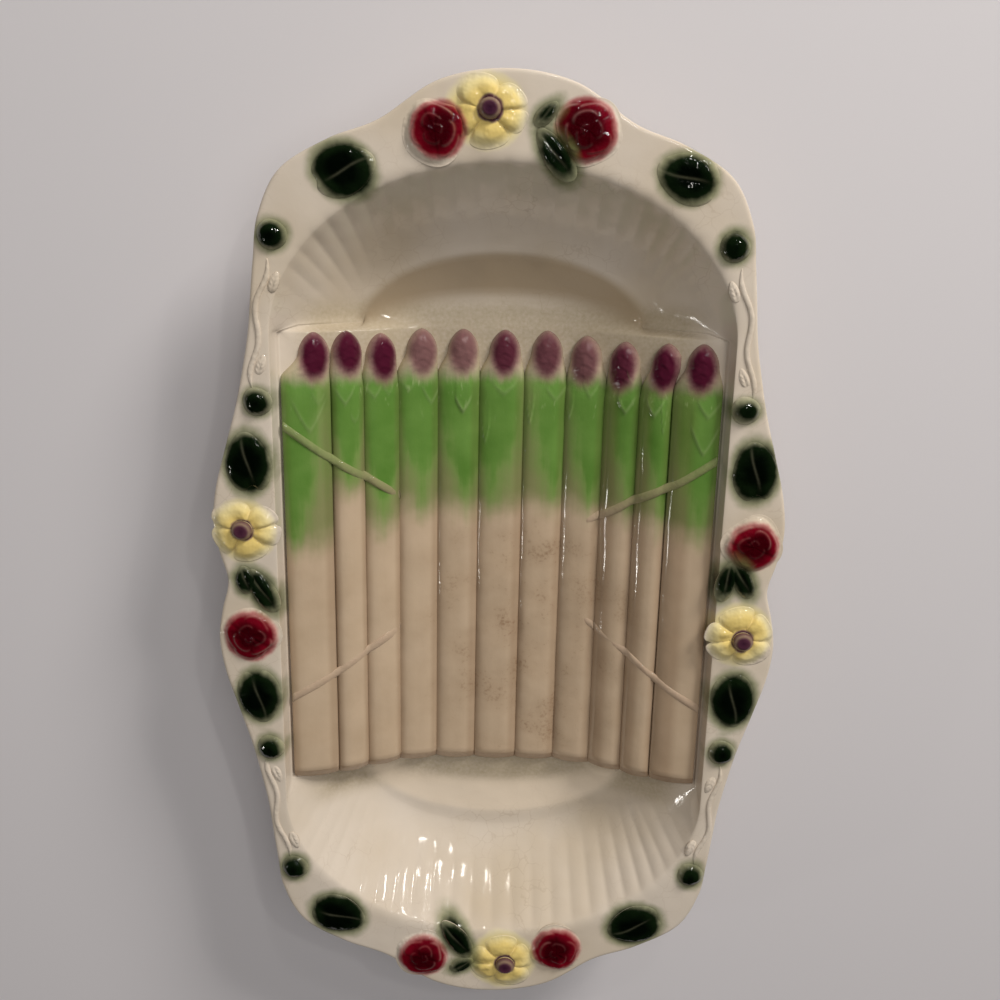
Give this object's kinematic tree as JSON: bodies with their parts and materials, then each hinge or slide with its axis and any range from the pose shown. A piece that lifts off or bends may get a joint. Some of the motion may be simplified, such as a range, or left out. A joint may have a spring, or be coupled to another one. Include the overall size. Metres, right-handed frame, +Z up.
{
  "type": "asparagus plate",
  "caption": "Oblong scalloped serving dish with a bundle of spears in relief on a hollowed deck, fluted wells at both ends and flower sprigs on a flat rim.",
  "frame": {"origin": "on the table under the middle of the dish, at the bottom centre of its bounding box", "axes": "+X across the dish, +Y along the spears towards their tips, +Z up"},
  "size_m": [0.2208, 0.38, 0.046],
  "materials": {
    "cream_glaze": "gloss",
    "bare_foot": "matte",
    "spear_glaze": "gloss",
    "tie_glaze": "gloss",
    "rose_glaze": "gloss",
    "yellow_glaze": "gloss",
    "purple_glaze": "gloss",
    "leaf_glaze": "gloss"
  },
  "bodies": {
    "root": {"dish_body": "cream_glaze", "vine_01": "cream_glaze", "vine_02": "cream_glaze", "vine_03": "cream_glaze", "vine_04": "cream_glaze", "foot_ring": "bare_foot", "spear_01": "spear_glaze", "spear_02": "spear_glaze", "spear_03": "spear_glaze", "spear_04": "spear_glaze", "spear_05": "spear_glaze", "spear_06": "spear_glaze", "spear_07": "spear_glaze", "spear_08": "spear_glaze", "spear_09": "spear_glaze", "spear_10": "spear_glaze", "spear_11": "spear_glaze", "tie_cord_lower": "tie_glaze", "tie_cord_upper": "tie_glaze", "rose_01": "rose_glaze", "rose_02": "rose_glaze", "rose_03": "rose_glaze", "rose_04": "rose_glaze", "rose_05": "rose_glaze", "rose_06": "rose_glaze", "yellow_flower_01": "yellow_glaze", "yellow_flower_02": "yellow_glaze", "yellow_flower_03": "yellow_glaze", "yellow_flower_04": "yellow_glaze", "flower_centre_01": "purple_glaze", "flower_centre_02": "purple_glaze", "flower_centre_03": "purple_glaze", "flower_centre_04": "purple_glaze", "leaf_pair_01": "leaf_glaze", "leaf_pair_02": "leaf_glaze", "leaf_pair_03": "leaf_glaze", "leaf_pair_04": "leaf_glaze", "corner_leaf_01": "leaf_glaze", "corner_leaf_02": "leaf_glaze", "corner_leaf_03": "leaf_glaze", "corner_leaf_04": "leaf_glaze", "side_leaf_01": "leaf_glaze", "side_leaf_02": "leaf_glaze", "side_leaf_03": "leaf_glaze", "side_leaf_04": "leaf_glaze", "corner_bud_01": "leaf_glaze", "corner_bud_02": "leaf_glaze", "corner_bud_03": "leaf_glaze", "corner_bud_04": "leaf_glaze", "side_bud_01": "leaf_glaze", "side_bud_02": "leaf_glaze", "side_bud_03": "leaf_glaze", "side_bud_04": "leaf_glaze"}
  },
  "joints": []
}
